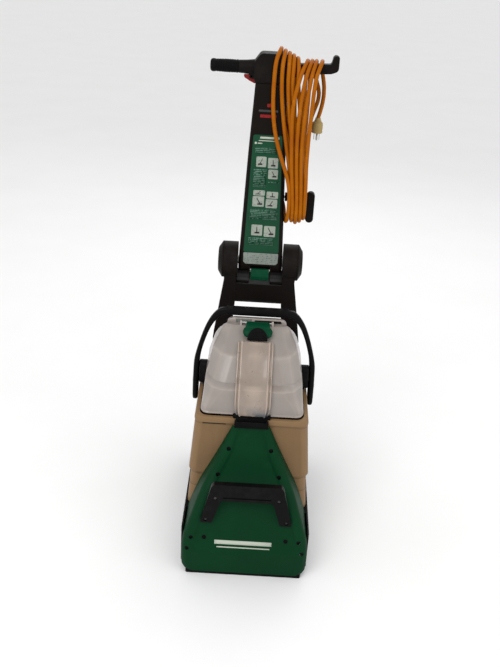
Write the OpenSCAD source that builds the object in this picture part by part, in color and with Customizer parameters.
// Upright carpet cleaner with a lift-off tank, folding handle and wound mains cord.
// Millimetres. +Z up, the front faces -Y, the origin is on the floor under the middle.

/* [Base] */
// Outside width of the base across its side walls
base_w = 306; // [300:1:312]
// Depth of the machine from the hood's front to the back of the wheels
base_d = 530; // [526:1:540]
// Height of the deck that carries the tank
deck_z = 108; // [106:1:110]
// Thickness of moulded walls
wall = 4; // [3:0.5:5]
// Width of the suction slot in the floor nozzle
slot_w = 8; // [6:1:10]

/* [Wheels] */
// Radius of a rear wheel over its tyre
wheel_r = 95; // [85:1:95]
// Width of a tyre
tyre_w = 30; // [26:1:30]
// Radius of the rear axle
axle_r = 8; // [6:1:10]

/* [Brush] */
// Radius of the brush over its bristles
brush_r = 26; // [22:1:27]
// Radius of the pulley on the brush
brush_pulley_r = 18; // [16:1:20]
// Radius of the pulley on the motor
motor_pulley_r = 10; // [8:1:12]

/* [Tank] */
// Wall of the clear tank and its lid
tank_wall = 3; // [2:0.5:4]
// Height of the tank's rim above the floor
tank_top_z = 364; // [362:1:365]
// Distance from the bail's pivot to the middle of its bar
bail_reach = 183; // [182:1:186]
// Angle that the bail leans back at rest
bail_lean = 9.6; // [8:0.1:10]

/* [Handle] */
// Height of the fold hinge above the floor
hinge_z = 645; // [643:1:647]
// Half the depth of the handle tube
tube_half_d = 28; // [27:0.5:28]
// Radius of the hinge barrels
barrel_r = 46; // [40:1:46]
// Radius of the hinge pin
pin_r = 10; // [8:1:12]

/* [Cord] */
// Diameter of the mains cord
cord_d = 9.5; // [8:0.5:10]

/* [Hidden] */
$fn = 48;
run_gap = 0.05;                 // radial clearance of every turning fit
half_w = base_w / 2;
front_y = -base_d / 2;
back_y = base_d / 2;

// Base
side_y0 = front_y + 33;
tray_y1 = 60;
tray_z = 12;
rear_w = 112;                   // half the width of the base between the wheels
rear_y1 = 215;
partition_y = -150;
slot_y = front_y + 12;
axle_y = back_y - wheel_r;
axle_z = wheel_r;
rim_r = wheel_r - 13;
tyre_x = 118;                   // inner face of a tyre

// Brush drive
brush_y = -210;
brush_z = 32;
brush_half = 124;
motor_y = -184;
motor_z = 92;
belt_x = -140;
belt_w = 6;
shaft_r = 4;

// Tank and lid
tank_y0 = -140;
tank_y1 = 68;
tank_tail_y = 105;              // back of the narrow part between the wheels
lid_z = tank_top_z + 3;
channel_half = 38;
pivot_y = 20;
pivot_z = 377;
latch_y = 27;
latch_z = 537.8;

// Handle
hinge_y = 170;
tube_y0 = hinge_y - tube_half_d;
tube_y1 = hinge_y + tube_half_d;
tube_top = 1085;
shell_t = 3;
ear_x = 57;                     // inner face of a hinge barrel
fold_latch_y = 134;
fold_latch_z = 634;
grip_z = 1117;
grip_root_x = -76;
grip_end_x = -141;
trigger_x = -46;
trigger_z = 1098;
hook_z = 816;
hook_tip_x = 103.5;
switch_x = -20;
switch_y = 192;
switch_z = 1040;

// Cord
cord_r = cord_d / 2;
loop_gap = 0.8;                 // space between the wound cord and what it goes round
hank_t = cord_d + 0.9;
lead_route = [[20, 212, 860], [20.5, 212, 845], [25, 212.5, 828], [33, 213, 812],
              [43, 213, 796], [54, 209, 778]];
tail_route = [[116, 205, 1112], [122, 207, 1096], [127, 207, 1078], [129, 206, 1056],
              [126, 205, 1034], [120, 204, 1016], [117, 204, 1004]];

// Half outlines seen from the front, [x, z] from the bottom up
hood_side = [[136, 22], [148, 34], [148, 60], [146.6, 97], [143.7, 113.5], [130, 157],
             [115, 197], [93, 243], [66, 301], [44, 350]];
tank_side = [[148, deck_z], [148, 112], [142, 204], [146.5, 211], [135, 349],
             [133, tank_top_z]];
lid_side = [[122, lid_z], [119.5, 400], [116.5, 434], [102.5, 486], [82.5, 525], [74, 532]];
tube_side = [[55, hinge_z - 40], [55, hinge_z - 5], [52.6, 709], [44, 931], [38, 1045],
             [36, tube_top]];
duct_side = [[130, 24], [130, 60], [128, 97], [110, 157], [90, 197], [66, 243],
             [46, 301], [37, 336]];

// Front faces seen from the side, [y, z] from the bottom up
hood_front = [[front_y, 22], [front_y, 60], [-258, 97], [-243, 157], [-222, 197],
              [-190, 243], [-170, 301], [-152, 350]];
duct_front = [[front_y + 6, 24], [front_y + 6, 60], [-252, 97], [-236, 157], [-214.5, 197],
              [-182, 243], [-161.5, 301], [-150.5, 336]];
duct_back = [[-144.5, 336], [-153, 296], [-171, 243], [-202, 197], [-224, 157],
             [-240, 97], [-243, 60], [-243, 24]];
lid_front = [[-125, lid_z], [-118, 430], [-95, 436], [-55, 486], [20, 532]];
lid_back = [[40, 532], [80, 505], [100, 440], [105, lid_z]];

// Screws in the hood, [x, z] of each on both sides
screw_r = 5;
screw_spots = [for (s = [-1, 1]) for (p = [[50, 300], [72, 240], [97, 102], [128, 102],
    [137, 74]]) [s * p[0], p[1]]];

// ---------- helpers ----------

// Extrude an outline given as [x, z] between two y positions
module prism_xz(points, y0, y1) {
    translate([0, y1, 0]) rotate([90, 0, 0]) linear_extrude(y1 - y0) polygon(points);
}

// Extrude an outline given as [y, z] between two x positions
module prism_yz(points, x0, x1) {
    translate([x0, 0, 0]) rotate([90, 0, 90]) linear_extrude(x1 - x0) polygon(points);
}

// Extrude an outline given as [x, y] between two z positions
module prism_xy(points, z0, z1) {
    translate([0, 0, z0]) linear_extrude(z1 - z0) polygon(points);
}

// Box from its low corner to its high corner
module block(low, high) {
    translate(low) cube([high[0] - low[0], high[1] - low[1], high[2] - low[2]]);
}

// Round bar along X
module rod_x(r, x0, x1, y, z) {
    translate([x0, y, z]) rotate([0, 90, 0]) cylinder(r = r, h = x1 - x0);
}

// Round bar along Y
module rod_y(r, y0, y1, x, z) {
    translate([x, y1, z]) rotate([90, 0, 0]) cylinder(r = r, h = y1 - y0);
}

// Both the child and its mirror image across the middle plane
module both_sides() {
    children();
    mirror([1, 0, 0]) children();
}

// A half outline joined to its mirror image
function whole(half) =
    concat(half, [for (i = [len(half) - 1:-1:0]) [-half[i][0], half[i][1]]]);

// An outline's points moved by [dx, dz]
function moved(points, d) = [for (p = points) p + d];

// A half outline moved inwards by t, with its foot pulled down to z0 and its top lowered
function inner(half, t, z0) = [for (i = [0:len(half) - 1])
    i == 0 ? [half[1][0] - t, z0]
    : i == len(half) - 1 ? [half[i][0] - t, half[i][1] - t]
    : [half[i][0] - t, half[i][1]]];

// Where the hood's face is at a height
function hood_y(z) = lookup(z, [for (p = hood_front) [p[1], p[0]]]);

function unit(v) = v / norm(v);
function clamp_i(i, n) = max(0, min(n - 1, i));
function tangent(p, i) = unit(p[clamp_i(i + 1, len(p))] - p[clamp_i(i - 1, len(p))]);

// Round tube swept along a list of points
module swept_tube(path, r, sides) {
    n = len(path);
    ring = [for (i = [0:n - 1])
        let (t = tangent(path, i), a = unit(cross(t, [1, 0, 0])), b = cross(t, a))
        for (k = [0:sides - 1])
            path[i] + r * (cos(360 * k / sides) * a + sin(360 * k / sides) * b)];
    skin = [for (i = [0:n - 2]) for (k = [0:sides - 1])
        let (m = (k + 1) % sides)
        [i * sides + k, i * sides + m, (i + 1) * sides + m, (i + 1) * sides + k]];
    foot = [for (k = [sides - 1:-1:0]) k];
    tip = [for (k = [0:sides - 1]) (n - 1) * sides + k];
    polyhedron(ring, concat(skin, [foot, tip]));
}

// ---------- base ----------

module chassis() {
    color("#1b1a19") difference() {
        union() {
            both_sides() block([half_w - wall, side_y0, tray_z], [half_w, tray_y1, 112]);
            block([-half_w, partition_y, tray_z], [half_w, tray_y1, tray_z + wall]);
            block([-half_w + wall, partition_y, tray_z], [half_w - wall, -146, deck_z]);
            block([-half_w + wall, partition_y, deck_z - wall],
                  [half_w - wall, tray_y1, deck_z]);
            both_sides() block([rear_w - wall, tray_y1 - wall, tray_z],
                               [half_w - wall, tray_y1, deck_z]);
            both_sides() block([rear_w - wall, tray_y1 - wall, 25],
                               [rear_w, rear_y1, deck_z]);
            block([-rear_w, tray_y1 - wall, 25], [rear_w, rear_y1, 25 + wall]);
            block([-rear_w, tray_y1 - wall, deck_z - wall], [rear_w, rear_y1, deck_z]);
            block([-rear_w, rear_y1 - wall, 25], [rear_w, rear_y1, deck_z]);
            both_sides() rod_x(axle_r + 5, rear_w - 12, rear_w + 2, axle_y, axle_z);
        }
        rod_x(axle_r, -half_w, half_w, axle_y, axle_z);
        block([-70, rear_y1 - 6, 45], [70, rear_y1 + 1, 85]);
    }
}

// Lip that rests on the carpet, with the suction slot through it
module floor_nozzle() {
    lip = [[front_y + 2, 0], [front_y + 22, 0], [front_y + 22, 24], [front_y + 4.5, 24],
           [front_y + 4.5, 21.5], [front_y + 0.5, 21.5], [front_y + 0.5, 5]];
    color("#141414") difference() {
        prism_yz(lip, -140, 140);
        block([-126, slot_y - slot_w / 2, -1], [126, slot_y + slot_w / 2, 25]);
    }
}

module hood_solid() {
    body = concat(hood_front, [[-143, 350], [-143, 114], [-200, 114], [-200, 22]]);
    intersection() {
        prism_xz(whole(hood_side), front_y - 1, 0);
        prism_yz(body, -half_w, half_w);
    }
}

module hood_hollow() {
    front = moved(hood_front, [wall, 0]);
    body = concat([[front_y + wall, 0]], [for (i = [1:6]) front[i]],
                  [[-148, 350 - wall], [0, 350 - wall], [0, 0]]);
    intersection() {
        prism_xz(whole(inner(hood_side, wall, 0)), front_y - 1, 0);
        prism_yz(body, -half_w, half_w);
    }
}

module hood() {
    color("#0b4a2c") difference() {
        hood_solid();
        hood_hollow();
        block([-34, -149, 340], [34, -144.5, 352]);
        for (p = screw_spots)
            rod_y(screw_r, hood_y(p[1]) - 9, hood_y(p[1]) + wall + 3, p[0], p[1]);
    }
}

// Each screw sits in its own hole, set back from the hood's face
module hood_screws() {
    color("#20211f") for (p = screw_spots)
        rod_y(screw_r, hood_y(p[1]) + 2.2, hood_y(p[1]) + 3.6, p[0], p[1]);
}

// Fixed handle across the hood, with its feet flat on the hood's face
module carry_handle() {
    side = [[-254, 147], [-251, 254], [-237, 254], [-237, 168.43], [-243, 157],
            [-245.5, 147]];
    outer = whole([[107, 147], [106, 156], [84, 246], [78, 254]]);
    gap = whole([[80, 140], [80, 147], [62, 209], [58, 213]]);
    color("#1c1b1b") difference() {
        intersection() {
            prism_xz(outer, front_y, -200);
            prism_yz(side, -half_w, half_w);
        }
        prism_xz(gap, front_y - 1, -190);
        both_sides() rod_y(4, -260, -249, 95, 155);
        both_sides() rod_y(4, -260, -249, 74, 216);
    }
}

module carry_handle_screws() {
    color("#2c2c2c") both_sides() {
        rod_y(4, -251.5, -249, 95, 155);
        rod_y(4, -250.8, -249, 74, 216);
    }
}

module neck_seal() {
    color("#111111") difference() {
        block([-40, -155, 350], [40, -142, 364.5]);
        block([-35, -151, 349], [35, -145, 365]);
    }
}

// Side outline of the duct, with its front and back faces moved inwards by t
module duct_profile(t) {
    prism_yz(concat(moved(duct_front, [t, 0]), moved(duct_back, [-t, 0])), -half_w, half_w);
}

// Flat duct from the floor nozzle up inside the hood to its neck
module suction_duct() {
    color("#2a2c2d") difference() {
        intersection() {
            prism_xz(whole(duct_side), front_y, 0);
            duct_profile(0);
        }
        intersection() {
            prism_xz(whole(moved(duct_side, [-1.5, 0])), front_y, 0);
            duct_profile(1.2);
        }
    }
}

// Housing over the brush with an end plate at each side
module brush_cover() {
    color("#232323") difference() {
        union() {
            intersection() {
                difference() {
                    rod_x(32, -133, 133, brush_y, brush_z);
                    rod_x(29, -127, 127, brush_y, brush_z);
                }
                block([-133, brush_y - 40, 26], [133, brush_y + 40, 80]);
            }
            both_sides() block([127, brush_y - 14, 16], [133, brush_y + 14, 40]);
        }
        rod_x(12, -134, 134, brush_y, brush_z);
    }
}

module brush_bearings() {
    color("#b9b9b4") both_sides() difference() {
        rod_x(12, 127, 133, brush_y, brush_z);
        rod_x(6, 126, 134, brush_y, brush_z);
    }
}

module brush_core() {
    color("#3a3a3a") union() {
        rod_x(14, -brush_half, brush_half, brush_y, brush_z);
        rod_x(6 - run_gap, belt_x, 134, brush_y, brush_z);
    }
}

// Rows of bristles round the core
module brush_bristles() {
    color("#cfd6d2") difference() {
        for (k = [0:5]) translate([0, brush_y, brush_z]) rotate([60 * k, 0, 0])
            block([-120, -2.5, 12], [120, 2.5, brush_r]);
        rod_x(14, -125, 125, brush_y, brush_z);
    }
}

module brush_pulley() {
    color("#8d8f90") difference() {
        rod_x(brush_pulley_r, belt_x, belt_x + belt_w, brush_y, brush_z);
        rod_x(6 - run_gap, belt_x - 1, belt_x + belt_w + 1, brush_y, brush_z);
    }
}

module brush_motor() {
    color("#6d7072") difference() {
        union() {
            rod_x(28, -60, 60, motor_y, motor_z);
            rod_x(14, -68, -60, motor_y, motor_z);
            block([-40, motor_y + 10, motor_z - 34], [40, partition_y, motor_z - 20]);
        }
        rod_x(shaft_r + run_gap, -69, -30, motor_y, motor_z);
    }
}

module motor_pulley() {
    color("#9a9c9d") union() {
        rod_x(motor_pulley_r, belt_x, belt_x + belt_w, motor_y, motor_z);
        rod_x(shaft_r, belt_x, -32, motor_y, motor_z);
    }
}

module belt_outline(grow) {
    hull() {
        translate([brush_y, brush_z]) circle(r = brush_pulley_r + grow);
        translate([motor_y, motor_z]) circle(r = motor_pulley_r + grow);
    }
}

module drive_belt() {
    color("#161616") translate([belt_x, 0, 0]) rotate([90, 0, 90])
        linear_extrude(belt_w) difference() {
            belt_outline(2.4);
            belt_outline(0.4);
        }
}

// Two-stage suction motor standing on the base's floor
module vacuum_motor() {
    color("#777a7c") translate([0, -45, tray_z + wall]) union() {
        cylinder(r = 66, h = 34);
        translate([0, 0, 34]) cylinder(r = 48, h = 36);
        translate([0, 0, 70]) cylinder(r = 18, h = 10);
        translate([60, -14, 6]) cube([26, 28, 20]);
    }
}

module water_pump() {
    color("#3c4a58") translate([100, -110, tray_z + wall]) union() {
        translate([-20, -20, 0]) cube([40, 56, 34]);
        translate([0, 8, 34]) cylinder(r = 14, h = 24);
        rod_y(5, -36, -20, 0, 18);
    }
}

// Water pipe behind the brush with four jets that face down
module spray_bar() {
    color("#4a4d4f") union() {
        rod_x(5, -110, 110, -166, 46);
        for (x = [-90:60:90]) translate([x, -166, 36]) cylinder(r1 = 3, r2 = 4.5, h = 8);
        for (x = [-70, 70]) block([x - 5, -166, 42], [x + 5, partition_y, 50]);
    }
}

module exhaust_grille() {
    color("#2d2d2d") difference() {
        block([-78, rear_y1, 38], [78, rear_y1 + 3, 92]);
        for (i = [0:5]) block([-68, rear_y1 - 1, 46 + 7 * i], [68, rear_y1 + 4, 49.5 + 7 * i]);
    }
}

module rear_axle() {
    color("#a9abad") rod_x(axle_r, -150, 150, axle_y, axle_z);
}

module axle_clips() {
    color("#8a8c8e") both_sides() difference() {
        rod_x(axle_r + 5, 148.6, 150, axle_y, axle_z);
        rod_x(axle_r, 148, 151, axle_y, axle_z);
    }
}

// Spoked wheel on the right; the left one is its mirror image
module wheel_body() {
    color("#2b2b2b") difference() {
        union() {
            rod_x(rim_r, tyre_x + 9, tyre_x + 15, axle_y, axle_z);
            difference() {
                rod_x(rim_r, tyre_x + 2, tyre_x + 28, axle_y, axle_z);
                rod_x(rim_r - 7, tyre_x, tyre_x + 30, axle_y, axle_z);
            }
            rod_x(19, tyre_x, tyre_x + 30, axle_y, axle_z);
            for (k = [0:5]) translate([0, axle_y, axle_z]) rotate([60 * k, 0, 0])
                block([tyre_x + 12, -3, 15], [tyre_x + 24, 3, rim_r - 3]);
        }
        rod_x(axle_r + run_gap, tyre_x - 1, tyre_x + 31, axle_y, axle_z);
    }
}

module tyre_body() {
    color("#151515") difference() {
        rod_x(wheel_r, tyre_x, tyre_x + tyre_w, axle_y, axle_z);
        rod_x(rim_r, tyre_x - 1, tyre_x + tyre_w + 1, axle_y, axle_z);
    }
}

module wheel_right() { wheel_body(); }
module tyre_right() { tyre_body(); }
module wheel_left() { mirror([1, 0, 0]) wheel_body(); }
module tyre_left() { mirror([1, 0, 0]) tyre_body(); }

// ---------- yoke and fold hinge ----------

module yoke() {
    leg = [[78, deck_z], [rear_w, deck_z], [rear_w, 440], [101, 518], [89, 600],
           [92, hinge_z], [59, hinge_z], [59, 541], [66, 440], [78, 220]];
    lip = [[136, 548], [142, 541], [174, 541], [174, 580], [142, 580], [142, 593],
           [136, 593]];
    color("#2f2723") difference() {
        union() {
            both_sides() prism_xz(leg, 135, 175);
            prism_yz(lip, -60, 60);
            both_sides() rod_x(barrel_r, ear_x, 92, hinge_y, hinge_z);
            both_sides() block([78, 120, deck_z], [rear_w, 190, deck_z + 10]);
        }
        rod_x(pin_r, -120, 120, hinge_y, hinge_z);
    }
}

module yoke_bolts() {
    color("#8a8c8e") both_sides() for (y = [127, 183])
        translate([95, y, deck_z + 10]) cylinder(r = 6, h = 4, $fn = 6);
}

module hinge_cap_body() {
    color("#3a302b") translate([92, hinge_y, hinge_z]) rotate([0, 90, 0]) union() {
        cylinder(r = barrel_r, h = 3);
        translate([0, 0, 3]) cylinder(r1 = barrel_r, r2 = barrel_r - 15, h = 11);
    }
}

module hinge_cap_right() { hinge_cap_body(); }
module hinge_cap_left() { mirror([1, 0, 0]) hinge_cap_body(); }

module hinge_pin() {
    color("#a9abad") rod_x(pin_r, -92, 92, hinge_y, hinge_z);
}

// ---------- tank, lid and bail ----------

function tank_plan(t) = whole([[148 - t, tank_y0 + t], [148 - t, tank_y1 - t],
    [rear_w - t, tank_y1 - t], [rear_w - t, tank_tail_y - t]]);

module tank() {
    color("#b9a98f", 0.7) difference() {
        intersection() {
            prism_xz(whole(tank_side), -200, 200);
            prism_xy(tank_plan(0), deck_z, tank_top_z);
        }
        intersection() {
            prism_xz(whole(moved(tank_side, [-tank_wall, tank_wall])), -200, 200);
            prism_xy(tank_plan(tank_wall), deck_z + tank_wall, tank_top_z + 5);
        }
    }
}

module lid_plan(t, z0, z1) {
    prism_xy(whole([[72 - t, -125 + t], [98 - t, -108 + t], [114 - t, -80], [122 - t, -50],
                    [122 - t, 84], [106 - t, 105 - t]]), z0, z1);
}

module tank_gasket() {
    color("#121212") difference() {
        prism_xy(whole([[75, -126.6], [101, -110], [117, -82], [125, -52], [125, 62],
                        [108, 66], [104, 102]]), tank_top_z, lid_z);
        lid_plan(6, tank_top_z - 1, lid_z + 1);
    }
}

module lid_shape(t) {
    top = [for (p = lid_front) [p[0] + t, p[1] - t]];
    rear = [for (p = lid_back) [p[0] - t, p[1] - t]];
    intersection() {
        prism_xz(whole([for (p = lid_side) [p[0] - t, p[1] - t]]), -200, 200);
        prism_yz(concat(top, rear), -130, 130);
        lid_plan(t, lid_z - t, 560);
    }
}

// Clear dome with bosses for the bail and ears for the latch
module tank_lid() {
    color("#c9cbc8", 0.6) difference() {
        union() {
            lid_shape(0);
            both_sides() rod_x(8, 112, 140.6, pivot_y, pivot_z);
            both_sides() prism_yz([[20, 528], [34, 528], [33, 541], [27, 543], [21, 541]],
                                  36, 41);
        }
        lid_shape(tank_wall);
        both_sides() rod_x(4, 126, 141, pivot_y, pivot_z);
        rod_x(2.5, -42, 42, latch_y, latch_z);
    }
}

// Raised channel down the front of the lid that carries dirty water up from the neck
function channel_face(d) = [[-128 - d, lid_z - 1.5], [-128 - d, 398], [-121 - d, 434],
    [-97 - 0.8 * d, 439 + 0.8 * d], [-57 - 0.6 * d, 489 + 0.8 * d],
    [-30, 505.5 + 0.8 * d]];

module suction_channel() {
    floor_line = [[-30, 505.5], [-57, 489], [-97, 439], [-121, 434], [-127, 398],
                  [-127, lid_z - 1.5]];
    color("#bfc1bd", 0.6) difference() {
        prism_yz(concat(channel_face(12), floor_line), -channel_half, channel_half);
        prism_yz(concat(moved(channel_face(10.2), [0, -1.8]), moved(floor_line, [-2, 1])),
                 -channel_half + 2, channel_half - 2);
    }
}

module channel_filter() {
    color("#8e979c") block([-22, -136, 370], [22, -130.5, 396]);
}

module float_guide() {
    color("#d9d9d4") union() {
        translate([0, pivot_y, 405]) cylinder(r = 6, h = 116);
        translate([0, pivot_y, 400]) cylinder(r = 12, h = 5);
    }
}

module shutoff_float() {
    color("#c5452c") translate([0, pivot_y, 405.2]) difference() {
        cylinder(r = 24, h = 32);
        translate([0, 0, -1]) cylinder(r = 6.4, h = 34);
    }
}

module bail_pivots() {
    color("#232323") both_sides() union() {
        rod_x(4, 126, 151, pivot_y, pivot_z);
        rod_x(9, 150.4, 152.8, pivot_y, pivot_z);
    }
}

// Swinging carry bail, drawn upright from its pivot and leant back on its stop
module bail() {
    arm = [[141, -40], [150, -40], [150, 58], [148, 70], [120.5, 134], [112, 164],
           [98, 184], [84, 191], [84, 174], [90, 168], [101, 152], [109.5, 130], [137, 66],
           [141, 54]];
    paddle = [[-12, -44], [-7, -56], [7, -56], [12, -44], [12, 52], [6, 66], [-6, 66],
              [-12, 52]];
    color("#171717") translate([0, pivot_y, pivot_z]) rotate([-bail_lean, 0, 0])
        difference() {
            union() {
                both_sides() prism_xz(arm, -8, 8);
                both_sides() prism_yz(paddle, 141, 150);
                rod_x(10, -86, 86, 0, bail_reach);
            }
            both_sides() rod_x(4 + run_gap, 140, 151, 0, 0);
        }
}

module lid_latch() {
    side = [[-18, 512.5], [18, 533.8], [27, 533.8], [27, 542.4], [8, 542.4], [-18, 525.5]];
    color("#0f6a41") difference() {
        union() {
            prism_yz(side, -30, 35);
            rod_x(4.6, -30, 35, latch_y, latch_z);
        }
        rod_x(2.5 + run_gap, -31, 36, latch_y, latch_z);
    }
}

module latch_thumb_pad() {
    side = [[-18, 512.5], [-18, 525.5], [-22, 526.5], [-27, 519], [-27, 508], [-24, 508]];
    color("#181818") prism_yz(side, -18, 18);
}

module latch_pin() {
    color("#a9abad") rod_x(2.5, -41, 41, latch_y, latch_z);
}

// ---------- folding handle ----------

// One shell of the handle tube, between two y positions
module tube_half(y0, y1) {
    difference() {
        intersection() {
            prism_xz(whole(tube_side), y0, y1);
            union() {
                rod_x(tube_half_d, -60, 60, hinge_y, hinge_z);
                block([-60, tube_y0, hinge_z], [60, tube_y1, tube_top]);
            }
        }
        intersection() {
            prism_xz(whole(moved(tube_side, [-shell_t, 0])),
                     tube_y0 + shell_t, tube_y1 - shell_t);
            block([-60, tube_y0, 680], [60, tube_y1, tube_top - 4]);
        }
        rod_x(pin_r + run_gap, -60, 60, hinge_y, hinge_z);
    }
}

module upright_front() {
    color("#2e2622") difference() {
        union() {
            tube_half(tube_y0, hinge_y);
            both_sides() block([24, 130, 626], [28, tube_y0 + 8, 642]);
        }
        rod_x(2.5, -29, 29, fold_latch_y, fold_latch_z);
    }
}

module upright_rear() {
    color("#2b2320") difference() {
        tube_half(hinge_y, tube_y1);
        block([switch_x - 9.6, tube_y1 - 6, switch_z - 12.6],
              [switch_x + 9.6, tube_y1 + 1, switch_z + 12.6]);
    }
}

module upright_screws() {
    color("#3f3f3f") for (p = [[-34, 700], [34, 700], [-32, 840], [32, 840], [-28, 1000]])
        rod_y(4, tube_y1, tube_y1 + 1.6, p[0], p[1]);
}

module instruction_label() {
    color("#0f6b43") prism_xz(whole([[44, 677], [34, 970]]), tube_y0 - 0.8, tube_y0);
}

module information_label() {
    color("#e8e9e4") prism_xz(whole([[38, 646], [43, 651], [44, 676.4]]),
                              tube_y0 - 0.8, tube_y0);
}

// Catch at the foot of the handle, sprung shut behind the yoke's lip
module fold_latch() {
    side = [[128, 637], [138, 637], [139.5, 628], [139, 612], [134, 605], [127, 609],
            [123, 620]];
    color("#0f6a41") difference() {
        prism_yz(side, -23, 23);
        rod_x(2.5 + run_gap, -24, 24, fold_latch_y, fold_latch_z);
    }
}

// Steel pins that the fold latch, the trigger and the cord hook turn on
module pivot_pins() {
    color("#a9abad") {
        rod_x(2.5, -28, 28, fold_latch_y, fold_latch_z);
        rod_y(2, hinge_y - 13.5, hinge_y + 13.5, trigger_x, trigger_z);
        rod_x(3, 48.6, 78, hinge_y, hook_z);
    }
}

// Head with the grip's core on one side and the cord's upper bar on the other
module handle_head() {
    top = [[36, tube_top], [60, 1108], [136, 1112], [152, 1118], [152, 1150], [143, 1153],
           [138, 1148], [136, 1133], [59, 1131], [20, 1151], [-28, 1151], [-41, 1130],
           [-41, 1097], [-36, tube_top]];
    color("#2d2521") difference() {
        union() {
            intersection() {
                prism_xz(top, 146, 194);
                block([-60, 146, tube_top], [60, 194, 1160]);
            }
            intersection() {
                prism_xz(top, 158, 182);
                block([50, 146, tube_top], [160, 194, 1160]);
            }
            rod_x(13, grip_root_x, -38, hinge_y, grip_z);
            rod_x(9, grip_end_x + 4, grip_root_x, hinge_y, grip_z);
            for (s = [-1, 1]) block([trigger_x - 5, hinge_y + s * 11 - 2.5, 1092],
                                    [-40, hinge_y + s * 11 + 2.5, 1108]);
        }
        rod_y(2, 150, 190, trigger_x, trigger_z);
    }
}

module grip_sleeve() {
    outline = [[9, 0], [13.5, 0], [14.2, 3], [13.6, 20], [14.6, 40], [14.6, 58], [12, 65],
               [0, 65], [0, 61], [9, 61]];
    color("#161616") translate([grip_root_x, hinge_y, grip_z]) rotate([0, -90, 0])
        rotate_extrude() polygon(outline);
}

// Red spray trigger under the root of the grip
module trigger() {
    side = [[-64, 1088], [-58, 1086], [-45, 1091], [-42.5, 1095], [-43, 1101], [-60, 1100],
            [-65, 1096]];
    color("#c3171c") difference() {
        prism_xz(side, hinge_y - 8, hinge_y + 8);
        rod_y(2 + run_gap, 150, 190, trigger_x, trigger_z);
    }
}

// Swivelling lower hook, its tip hanging down at rest
module cord_hook() {
    tip_z = 765;
    color("#2b2421") difference() {
        union() {
            rod_x(9, 50.5, hook_tip_x + 2, hinge_y, hook_z);
            rod_y(10, 160, 180, 113.5, hook_z + 6);
            rod_y(10, 160, 180, 113.5, tip_z);
            block([hook_tip_x, 160, tip_z], [hook_tip_x + 20, 180, hook_z + 6]);
        }
        rod_x(3 + run_gap, 50, 80, hinge_y, hook_z);
    }
}

module power_switch() {
    side = [[193, 1029.5], [200, 1031.5], [198.5, 1040], [200, 1048.5], [193, 1050.5]];
    color("#b01a1e") translate([switch_x, switch_y, switch_z]) rotate([-6, 0, 0])
        translate([0, -switch_y, -switch_z]) union() {
            prism_yz(side, -9, 9);
            rod_x(2.5, -9, 9, switch_y, switch_z);
        }
}

// ---------- cord ----------

// Block on the back of the handle and the tapered sleeve that the cord leaves
module cord_gland() {
    color("#1a1a1a") union() {
        block([4, tube_y1, 900], [30, tube_y1 + 24, 930]);
        translate([20, 212, 860]) cylinder(r1 = 6, r2 = 9, h = 40);
    }
}

// Space taken by the cord wound round the head's bar and the lower hook:
// one layer inside the outline, and two layers where the second outline is
module cord_hank() {
    outline = [[88, 747], [100, 757], [102.7, 790], [101, 1000], [103, 1096], [122, 1128],
               [122, 1144], [60, 1142.5], [22, 1162.5], [12, 1150], [6, 1088], [6, 1039],
               [12, 997], [24, 950], [43, 903], [51, 868], [54.5, 818], [56, 780],
               [68, 750]];
    second = [[88, 747], [100, 757], [102.7, 790], [101, 1000], [103, 1096], [108, 1115],
              [72, 1115], [50, 1050], [48, 960], [54.5, 818], [56, 780], [68, 750]];
    window = [[0, 775], [130, 775], [130, 1133.8], [59, 1131.8], [20, 1151.8],
              [0, 1151.8]];
    color("#c8780f") difference() {
        union() {
            prism_xz(outline, tube_y0 - loop_gap - hank_t, tube_y1 + loop_gap + hank_t);
            prism_xz(second, tube_y0 - loop_gap - 2 * hank_t, tube_y1 + loop_gap + 2 * hank_t);
        }
        prism_xz(window, tube_y0 - loop_gap, tube_y1 + loop_gap);
    }
}

// Moulded plug with two flat blades and a round one
module power_plug() {
    color("#cdbd74") translate([117, 204, 1004]) rotate([180, 0, 0]) union() {
        cylinder(r1 = 7, r2 = 12, h = 12);
        translate([0, 0, 12]) cylinder(r = 13, h = 24);
        for (s = [-1, 1]) translate([s * 6.3 - 0.8, -3.2, 36]) cube([1.6, 6.4, 16]);
        translate([0, 8, 36]) cylinder(r = 2.4, h = 18);
    }
}

module cord_lead() {
    color("#c8780f") swept_tube(lead_route, cord_r, 10);
}

module cord_tail() {
    color("#c8780f") swept_tube(tail_route, cord_r, 10);
}

chassis();
floor_nozzle();
hood();
hood_screws();
carry_handle();
carry_handle_screws();
neck_seal();
suction_duct();
brush_cover();
brush_bearings();
brush_core();
brush_bristles();
brush_pulley();
brush_motor();
motor_pulley();
drive_belt();
vacuum_motor();
water_pump();
spray_bar();
exhaust_grille();
rear_axle();
axle_clips();
wheel_left();
tyre_left();
wheel_right();
tyre_right();
yoke();
yoke_bolts();
hinge_cap_left();
hinge_cap_right();
hinge_pin();
tank();
tank_gasket();
tank_lid();
suction_channel();
channel_filter();
float_guide();
shutoff_float();
bail_pivots();
bail();
lid_latch();
latch_thumb_pad();
latch_pin();
upright_front();
upright_rear();
upright_screws();
instruction_label();
information_label();
fold_latch();
pivot_pins();
handle_head();
grip_sleeve();
trigger();
cord_hook();
power_switch();
cord_gland();
cord_lead();
cord_hank();
cord_tail();
power_plug();
